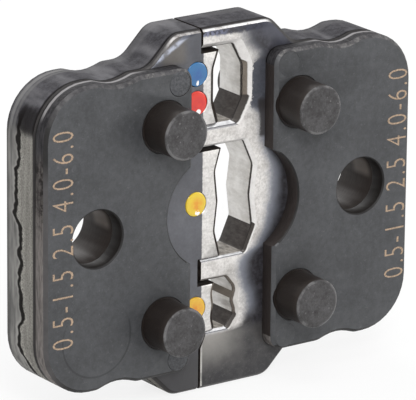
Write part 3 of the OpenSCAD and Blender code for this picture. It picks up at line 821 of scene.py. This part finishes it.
def repeated(name, shape, material, body, nodes, note=None):
    """One mesh with a bmesh set at the middle of each of some nodes, in their place, riding on their body."""
    mesh = mesh_from(shape, name + " blank")
    if note:
        note(mesh)
    blank = bpy.data.objects.new(name + "_blank", mesh)
    seats = bpy.data.meshes.new(name)
    seats.from_pydata([(x * MM, 0, z * MM) for x, z in map(middle_of, nodes)], [], [])
    piece = placed(name, seats)
    tree = repeat_tree(name + " Layout", material)
    made = piece.modifiers.new("Layout", "NODES")
    made.node_group = tree
    ids = {item.name: item.identifier for item in tree.interface.items_tree if item.in_out == "INPUT"}
    made[ids["Blank"]] = blank
    frozen(piece)
    bpy.data.objects.remove(blank)
    piece.data.shade_smooth()
    piece.data.set_sharp_from_angle(angle=math.radians(35))
    return settle(piece, body, nodes)


def note_axis(mesh):
    """Stores how far each point is from the axis of its stud, for the turning marks."""
    made = mesh.attributes.new("from_axis", "FLOAT", "POINT")
    made.data.foreach_set("value", [math.hypot(v.co.x, v.co.z) / MM for v in mesh.vertices])


def middle_of(node):
    """X and Z of a node's middle, in millimetres."""
    low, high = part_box(node)
    return (low.x + high.x) / 2 / MM, (low.z + high.z) / 2 / MM


def radius_of(node):
    """Half of a node's width, in millimetres."""
    low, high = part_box(node)
    return (high.x - low.x) / 2 / MM


def quarter(steps):
    """Angles of a quarter turn in equal steps."""
    return [k * math.pi / 2 / steps for k in range(steps + 1)]


def both_ends(front):
    """A profile from its front half, mirrored behind the middle of the plates."""
    return front + [(radius, -y) for radius, y in reversed(front)]


# Settings


def length_setting(name, description, default, low, high):
    """A length that a user can change; its numbers here are millimetres."""
    return bpy.props.FloatProperty(
        name=name,
        description=description,
        default=default * MM,
        min=low * MM,
        max=high * MM,
        precision=5,
        unit="LENGTH",
    )


def colour_setting(name, description, *screen):
    """A colour that a user can change; its numbers here are screen values from 0 to 255."""
    return bpy.props.FloatVectorProperty(
        name=name, description=description, subtype="COLOR", size=4, default=shade(*screen), min=0, max=1
    )


class CrimpDieSizes(bpy.types.PropertyGroup):
    """Sizes of the fine shapes."""

    die_rounding: length_setting("Die edge rounding", "Rounding of the die bodies' edges", 0.09, 0.02, 0.2)
    cover_rounding: length_setting("Cover edge rounding", "Rounding of the covers' edges", 0.1, 0.02, 0.2)
    stud_rounding: length_setting("Stud edge rounding", "Radius at the stud ends", 0.2, 0.1, 0.6)
    rivet_groove: length_setting("Rivet groove", "Width of the groove round a rivet end", 0.07, 0.02, 0.2)
    enamel_dome: length_setting("Enamel dome", "How far an enamel mark stands proud", 0.1, 0.02, 0.3)
    number_height: length_setting("Number height", "Height of the size numbers", 2.5, 1.0, 3.0)
    number_length: length_setting("Number length", "Length of the line of size numbers", 22.0, 10.0, 24.0)


class CrimpDieColours(bpy.types.PropertyGroup):
    """Colours of the oxide, the enamel and the marks."""

    oxide: colour_setting("Oxide", "Colour of the blackened covers", 59, 60, 62)
    mark: colour_setting("Etched marks", "Colour of the burnt-in numbers", 164, 142, 120)
    blue: colour_setting("Blue", "Colour of the blue enamel", 38, 98, 146)
    red: colour_setting("Red", "Colour of the red enamel", 203, 42, 22)
    yellow: colour_setting("Yellow", "Colour of the yellow enamel", 208, 178, 36)
    amber: colour_setting("Amber", "Colour of the amber enamel", 210, 164, 36)


# Pieces


class CRIMPDIE_OT_dies(bpy.types.Operator):
    """Makes the two finished die bodies"""

    bl_idname = "crimp_die.dies"
    bl_label = "Die Bodies"

    def execute(self, context):
        width = context.scene.crimp_die_sizes.die_rounding
        rim, wall, gap = die_rim("die rim"), nest_wall("nest wall"), gap_wall("gap wall")
        bore = bore_wall("die bore", (30, 25, 23), (62, 56, 53))
        lip = nest_shade("punch bevel", (26, 20, 18), (56, 48, 44))
        slope = nest_shade("nest slope", (52, 48, 46), (76, 72, 70))
        ledge = nest_shade("nest ledge", (92, 87, 81), (160, 155, 148))
        # Both lists are in the order of the slots FACE to SILL.
        left = [left_die_face("left die face"), ground_edge("left ground edge", True)]
        left += [rim, wall, bore, lip, gap]
        right = [right_die_face("right die face"), ground_edge("right ground edge", False)]
        right += [rim, wall, bore, channel_bevel("channel bevel"), gap, slope, ledge]
        right += [floor_bevel("floor bevel")]
        for side, materials, choose in (("left", left, left_slot), ("right", right, right_slot)):
            node, body = f"{side}_die_body", f"{side}_half"
            shape = merged(node)
            set_slots(shape, choose)
            if side == "left":
                soften_lips(shape)
            piece = piece_from(shape, f"{side}_die", materials, body, [node])
            rounded(piece, width)
        return {"FINISHED"}


class CRIMPDIE_OT_covers(bpy.types.Operator):
    """Makes the two blackened cover plates"""

    bl_idname = "crimp_die.covers"
    bl_label = "Cover Plates"

    def execute(self, context):
        width = context.scene.crimp_die_sizes.cover_rounding
        tone = tuple(context.scene.crimp_die_colours.oxide)
        shared = [oxide_edge("oxide edge"), oxide_rim("cover rim")]
        shared += [bore_wall("cover bore", (14, 11, 10), (34, 30, 28))]
        shared += [bore_wall("cover inner wall", (32, 28, 27), (66, 60, 58))]
        for side, inner, ring in (("left", -COVER_IN_LEFT, COVER_RING), ("right", COVER_IN, None)):
            node, body = f"{side}_cover_plate", f"{side}_half"
            materials = [oxide_face(f"{side} oxide", tone, ring)] + shared
            shape = merged(node)
            set_slots(shape, cover_slot, inner)
            piece = piece_from(shape, f"{side}_cover", materials, body, [node])
            rounded(piece, width)
        return {"FINISHED"}


class CRIMPDIE_OT_studs(bpy.types.Operator):
    """Makes the four locating studs, two on each half"""

    bl_idname = "crimp_die.studs"
    bl_label = "Studs"

    def execute(self, context):
        bend = context.scene.crimp_die_sizes.stud_rounding / MM
        shank = radius_of("left_upper_stud") - 0.05
        inner = [(STUD_R * share, -STUD_END) for share in (0.0, 0.2, 0.4, 0.6, 0.8)]
        turns = quarter(6)
        end = [(STUD_R - bend + bend * math.sin(a), -STUD_END + bend - bend * math.cos(a)) for a in turns]
        front = inner + end + [(STUD_R, PLATE_FACE + 0.02), (shank, PLATE_FACE + 0.02)]
        steel = stud_steel("stud steel")
        for side in ("left", "right"):
            nodes = [f"{side}_upper_stud", f"{side}_lower_stud"]
            shape = lathe(both_ends(front), 64)
            repeated(f"{side}_studs", shape, steel, f"{side}_half", nodes, note_axis)
        return {"FINISHED"}


class CRIMPDIE_OT_rivets(bpy.types.Operator):
    """Makes the four flush rivets, two on each half"""

    bl_idname = "crimp_die.rivets"
    bl_label = "Rivets"

    def execute(self, context):
        groove = context.scene.crimp_die_sizes.rivet_groove / MM
        oxide = tuple(context.scene.crimp_die_colours.oxide)
        radius = radius_of("left_upper_rivet")
        grooved = [(0.0, PLATE_FACE - 0.012), (radius * 0.6, PLATE_FACE - 0.01)]
        grooved += [(radius - groove, PLATE_FACE), (radius - groove * 0.4, PLATE_FACE + groove * 0.5)]
        grooved += [(radius, PLATE_FACE + groove * 1.6)]
        plain = [(0.0, PLATE_FACE - 0.004), (radius, PLATE_FACE - 0.004)]
        # The channel half's rivets are finished with its cover and hardly show.
        for side, front, steel in (
            ("left", grooved, rivet_steel("rivet steel")),
            ("right", plain, oxide_face("right rivet oxide", oxide)),
        ):
            nodes = [f"{side}_upper_rivet", f"{side}_lower_rivet"]
            shape = lathe(both_ends(front), 48)
            repeated(f"{side}_rivets", shape, steel, f"{side}_half", nodes)
        return {"FINISHED"}


class CRIMPDIE_OT_enamel(bpy.types.Operator):
    """Makes the four enamel colour marks"""

    bl_idname = "crimp_die.enamel"
    bl_label = "Colour Marks"

    def execute(self, context):
        dome = context.scene.crimp_die_sizes.enamel_dome / MM
        colours = context.scene.crimp_die_colours
        deeps = {
            "blue": (34, 84, 142),
            "red": (186, 26, 26),
            "yellow": (208, 138, 20),
            "amber": (206, 126, 20),
        }
        for order, (name, deep) in enumerate(deeps.items()):
            node = f"{name}_mark"
            radius, (cx, cz) = radius_of(node), middle_of(node)
            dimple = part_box(node)[1].y / MM
            crown = [(radius * math.sin(a), SEAM - dome * math.cos(a)) for a in quarter(8)]
            shape = lathe(crown + [(radius, dimple), (0.0, dimple)], 48)
            for vert in shape.verts:
                turn = math.atan2(vert.co.z, vert.co.x)
                # Brushed on by hand, so each mark is a little out of round in its own way.
                wide = 0.98 - 0.02 * math.sin(2 * turn + order) - 0.012 * math.sin(5 * turn + 2 * order)
                vert.co.x = vert.co.x * wide + cx * MM
                vert.co.z = vert.co.z * wide + cz * MM
            coat = enamel(f"{name} enamel", tuple(getattr(colours, name)), deep, cx, cz, radius)
            piece = piece_from(shape, f"{name}_enamel", [coat], "left_half", [node])
            piece.data.shade_smooth()
            piece.data.set_sharp_from_angle(angle=math.radians(50))
        return {"FINISHED"}


class CRIMPDIE_OT_numbers(bpy.types.Operator):
    """Makes the wire sizes burnt into each cover, which run up its outer edge"""

    bl_idname = "crimp_die.numbers"
    bl_label = "Size Numbers"

    def execute(self, context):
        sizes = context.scene.crimp_die_sizes
        mark = etched("etched mark", tuple(context.scene.crimp_die_colours.mark))
        for side, middle_x in NUMBER_X.items():
            curve = bpy.data.curves.new(f"{side} numbers", "FONT")
            curve.body = "0.5-1.5 2.5 4.0-6.0"
            curve.align_x = "CENTER"
            curve.align_y = "CENTER"
            curve.size = sizes.number_height / FIGURE_SHARE
            curve.space_character = 1.18
            curve.extrude = 0.01 * MM
            curve.offset = -0.05 * MM
            curve.resolution_u = 3
            text = placed(f"{side} numbers", curve)
            context.view_layer.update()
            graph = context.evaluated_depsgraph_get()
            mesh = bpy.data.meshes.new_from_object(text.evaluated_get(graph), depsgraph=graph)
            bpy.data.objects.remove(text)
            squeeze = sizes.number_length / (2 * max(vert.co.x for vert in mesh.vertices))
            for vert in mesh.vertices:
                x, y, depth = vert.co
                out = PLATE_FACE * MM - depth - 0.002 * MM
                vert.co = (middle_x * MM - y, out, x * squeeze + NUMBER_Z * MM)
            shape = bmesh.new()
            shape.from_mesh(mesh)
            bpy.data.meshes.remove(mesh)
            bmesh.ops.remove_doubles(shape, verts=shape.verts, dist=0.001 * MM)
            bmesh.ops.recalc_face_normals(shape, faces=shape.faces)
            piece_from(shape, f"{side}_numbers", [mark], f"{side}_half", [])
        return {"FINISHED"}


class CRIMPDIE_OT_stage(bpy.types.Operator):
    """Makes the floor, the lamps, the white surround and the camera"""

    bl_idname = "crimp_die.stage"
    bl_label = "Stage"

    def execute(self, context):
        scene = context.scene
        scene.view_settings.view_transform = "Standard"
        self.floor()
        self.surround(scene)
        for name, spot, size, watts in LAMPS:
            light = bpy.data.lights.new(name, "AREA")
            light.size = size * MM
            light.energy = watts
            lamp = placed(name, light)
            lamp.location = Vector(spot) * MM
            lamp.rotation_euler = (-Vector(spot)).to_track_quat("-Z", "Y").to_euler()
        self.camera(scene)
        return {"FINISHED"}

    def floor(self):
        """A wide floor just under the object, nearly white to the camera, which keeps the shadow."""
        shape = bmesh.new()
        bmesh.ops.create_grid(shape, x_segments=8, y_segments=8, size=FLOOR_HALF * MM)
        for vert in shape.verts:
            vert.co.z = (-BLOCK_TOP - FLOOR_GAP) * MM
        floor = placed("floor", mesh_from(shape, "floor"))
        f = Finish("pale floor")
        matte = f.node("ShaderNodeBsdfDiffuse", None, {"Color": (0.85, 0.85, 0.85, 1.0)})
        glow = f.node("ShaderNodeEmission", None, {"Color": (1.0, 1.0, 1.0, 1.0), "Strength": 1.0})
        mixed = {0: f.seen() * FLOOR_WHITENESS, 1: matte.outputs[0], 2: glow.outputs[0]}
        both = f.node("ShaderNodeMixShader", None, mixed)
        f.node("ShaderNodeOutputMaterial", None, {0: both.outputs[0]})
        floor.data.materials.append(f.material)

    def surround(self, scene):
        """White all round to the camera and in reflections, and half as bright as a light."""
        world = bpy.data.worlds.new("surround")
        scene.world = world
        world.use_nodes = True
        world.node_tree.nodes.clear()
        n = Nodes(world.node_tree)
        level = n.seen().rise(0.0, 1.0, SURROUND_LEVEL, 1.0)
        light = n.node("ShaderNodeBackground", None, {"Color": (1.0, 1.0, 1.0, 1.0), "Strength": level})
        n.node("ShaderNodeOutputWorld", None, {0: light.outputs[0]})

    def camera(self, scene):
        """The camera, set by its place, its turn about Z, its lift above the floor and its roll."""
        data = bpy.data.cameras.new("camera")
        data.sensor_width = 36.0
        data.lens = CAMERA_LENS
        data.shift_x, data.shift_y = CAMERA_SHIFT
        data.clip_start = 0.01
        data.clip_end = 20.0
        camera = placed("camera", data)
        turn, lift, roll = (math.radians(angle) for angle in CAMERA_ANGLES)
        back = Vector((math.sin(turn) * math.cos(lift), -math.cos(turn) * math.cos(lift), math.sin(lift)))
        right = Vector((0, 0, 1)).cross(back).normalized()
        up = back.cross(right)
        turned = right * math.cos(roll) + up * math.sin(roll)
        upright = up * math.cos(roll) - right * math.sin(roll)
        axes = Matrix((turned, upright, back)).transposed().to_4x4()
        camera.matrix_world = Matrix.Translation(Vector(CAMERA_SPOT) * MM) @ axes
        scene.camera = camera


class CRIMPDIE_PT_panel(bpy.types.Panel):
    """Lists the sizes, the colours and the pieces"""

    bl_idname = "CRIMPDIE_PT_panel"
    bl_label = "Crimp Die"
    bl_space_type = "VIEW_3D"
    bl_region_type = "UI"
    bl_category = "Crimp Die"

    def draw(self, context):
        for group in (context.scene.crimp_die_sizes, context.scene.crimp_die_colours):
            for name in group.__annotations__:
                self.layout.prop(group, name)
        for operator in OPERATORS:
            self.layout.operator(operator.bl_idname)


OPERATORS = (
    CRIMPDIE_OT_stage,
    CRIMPDIE_OT_dies,
    CRIMPDIE_OT_covers,
    CRIMPDIE_OT_studs,
    CRIMPDIE_OT_rivets,
    CRIMPDIE_OT_enamel,
    CRIMPDIE_OT_numbers,
)
CLASSES = (CrimpDieSizes, CrimpDieColours, *OPERATORS, CRIMPDIE_PT_panel)


def register():
    for item in CLASSES:
        bpy.utils.register_class(item)
    bpy.types.Scene.crimp_die_sizes = bpy.props.PointerProperty(type=CrimpDieSizes)
    bpy.types.Scene.crimp_die_colours = bpy.props.PointerProperty(type=CrimpDieColours)


def unregister():
    del bpy.types.Scene.crimp_die_colours
    del bpy.types.Scene.crimp_die_sizes
    for item in reversed(CLASSES):
        bpy.utils.unregister_class(item)


def main():
    register()
    bpy.ops.crimp_die.stage()
    bpy.ops.crimp_die.dies()
    bpy.ops.crimp_die.covers()
    bpy.ops.crimp_die.studs()
    bpy.ops.crimp_die.rivets()
    bpy.ops.crimp_die.enamel()
    bpy.ops.crimp_die.numbers()


if __name__ == "__main__":
    main()
